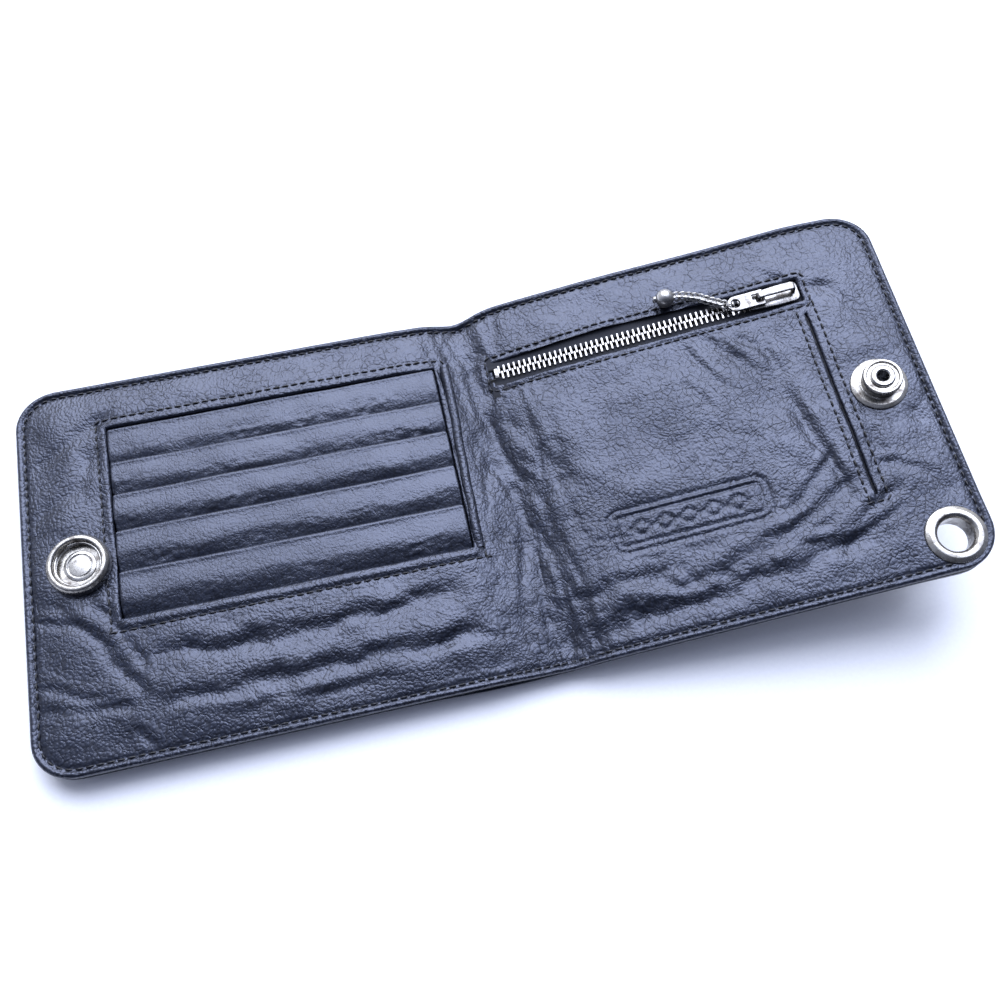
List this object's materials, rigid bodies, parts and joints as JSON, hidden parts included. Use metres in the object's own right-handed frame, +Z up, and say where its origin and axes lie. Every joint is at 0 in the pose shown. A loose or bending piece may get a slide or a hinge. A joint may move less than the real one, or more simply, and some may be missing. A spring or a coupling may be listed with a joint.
{
  "type": "chain wallet",
  "caption": "Bifold leather wallet with card pockets, a zipped coin pocket, a snap fastener and a metal eyelet for a wallet chain.",
  "frame": {"origin": "under the middle of the open wallet, where its fold line stands over the surface it lies on", "axes": "+X across the open wallet from the card side to the coin side, +Y along the fold to the bill compartment's mouth, +Z up"},
  "size_m": [0.2391, 0.105, 0.0306],
  "materials": {
    "cover_leather": "full-grain black leather, glossy",
    "pocket_leather": "thin black leather, glossy",
    "lining_cloth": "black woven lining",
    "zip_tape": "black woven zip tape",
    "zip_metal": "polished nickel",
    "pull_silver": "polished and darkened silver",
    "snap_nickel": "nickel plated",
    "eyelet_nickel": "worn nickel plate"
  },
  "bodies": {
    "left_panel": {"outer_cover_left": "cover_leather", "cover_lining_left": "lining_cloth", "divider_left": "pocket_leather", "slip_pocket_backing": "pocket_leather", "card_pocket_1": "pocket_leather", "card_pocket_2": "pocket_leather", "card_pocket_3": "pocket_leather", "card_pocket_4": "pocket_leather", "card_pocket_5": "pocket_leather", "side_filler_left": "pocket_leather", "inner_face_left": "cover_leather", "slip_pocket_roll": "pocket_leather", "outer_spine": "cover_leather", "spine_lining": "lining_cloth", "divider_spine": "pocket_leather", "inner_spine": "cover_leather", "snap_cap": "snap_nickel", "snap_socket_ring": "snap_nickel", "snap_spring_ring": "snap_nickel", "snap_socket_rivet": "snap_nickel"},
    "right_panel": {"outer_cover_right": "cover_leather", "cover_lining_right": "lining_cloth", "divider_right": "pocket_leather", "filler_right": "pocket_leather", "coin_pocket_bag": "lining_cloth", "slit_pocket_bag": "lining_cloth", "slit_facing": "pocket_leather", "inner_face_right": "cover_leather", "zip_tape_upper": "zip_tape", "zip_tape_lower": "zip_tape", "zip_teeth_upper": "zip_metal", "zip_teeth_lower": "zip_metal", "zip_top_stops": "zip_metal", "zip_bottom_stop": "zip_metal", "snap_stud": "snap_nickel", "snap_stud_post": "snap_nickel", "chain_eyelet": "eyelet_nickel", "eyelet_washer": "eyelet_nickel"},
    "slider": {"zip_slider": "zip_metal"},
    "pull_tab": {"pull_tab": "zip_metal"},
    "pull_chain": {"pull_link": "pull_silver", "pull_chain": "pull_silver"},
    "pull_ball": {"pull_ball": "pull_silver", "ball_bead": "pull_silver"}
  },
  "joints": [
    {"name": "spine_fold", "type": "hinge", "parent": "left_panel", "child": "right_panel", "pos_m": [0, 0, 0.01045], "axis": [0, -1, 0], "range_deg": [-10, 170], "deforming": ["outer_spine", "spine_lining", "divider_spine", "inner_spine", "snap_spring_ring"]},
    {"name": "zip_slide", "type": "slide", "parent": "right_panel", "child": "slider", "axis": [-0.9848, 0, -0.1736], "range_m": [0, 0.055], "deforming": ["zip_teeth_upper", "zip_teeth_lower", "zip_tape_upper", "zip_tape_lower"]},
    {"name": "tab_flip", "type": "hinge", "parent": "slider", "child": "pull_tab", "pos_m": [0.0851, 0.033, 0.02281], "axis": [0, -1, 0], "range_deg": [-130, 0]},
    {"name": "chain_swing", "type": "hinge", "parent": "pull_tab", "child": "pull_chain", "pos_m": [0.07579, 0.033, 0.02117], "axis": [-0.1736, 0, 0.9848], "range_deg": [-3, 70]},
    {"name": "ball_tilt", "type": "hinge", "parent": "pull_chain", "child": "pull_ball", "pos_m": [0.05961, 0.0399, 0.01964], "axis": [-0.1736, 0, 0.9848], "range_deg": [-25, 25]}
  ]
}
